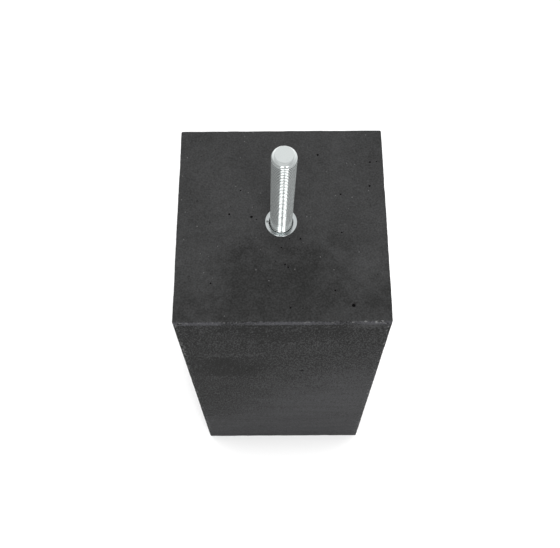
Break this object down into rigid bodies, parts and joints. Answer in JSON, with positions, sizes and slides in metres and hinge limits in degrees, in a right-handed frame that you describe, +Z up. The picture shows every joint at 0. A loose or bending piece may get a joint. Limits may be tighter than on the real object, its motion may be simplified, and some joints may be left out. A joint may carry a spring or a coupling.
{
  "type": "concrete post base block",
  "caption": "Tapered square block of anthracite cast concrete with a zinc-plated threaded stud in a cast-in steel sleeve, to carry a post.",
  "frame": {"origin": "middle of the block's underside", "axes": "+Z up through the block towards the stud, -Y out of the front face, +X to the right seen from the front"},
  "size_m": [0.181, 0.181, 0.5316],
  "materials": {
    "anthracite_concrete": "matte",
    "sleeve_zinc": "satin",
    "stud_zinc": "satin"
  },
  "bodies": {
    "root": {"concrete_block": "anthracite_concrete", "threaded_sleeve": "sleeve_zinc", "threaded_stud": "stud_zinc"}
  },
  "joints": []
}
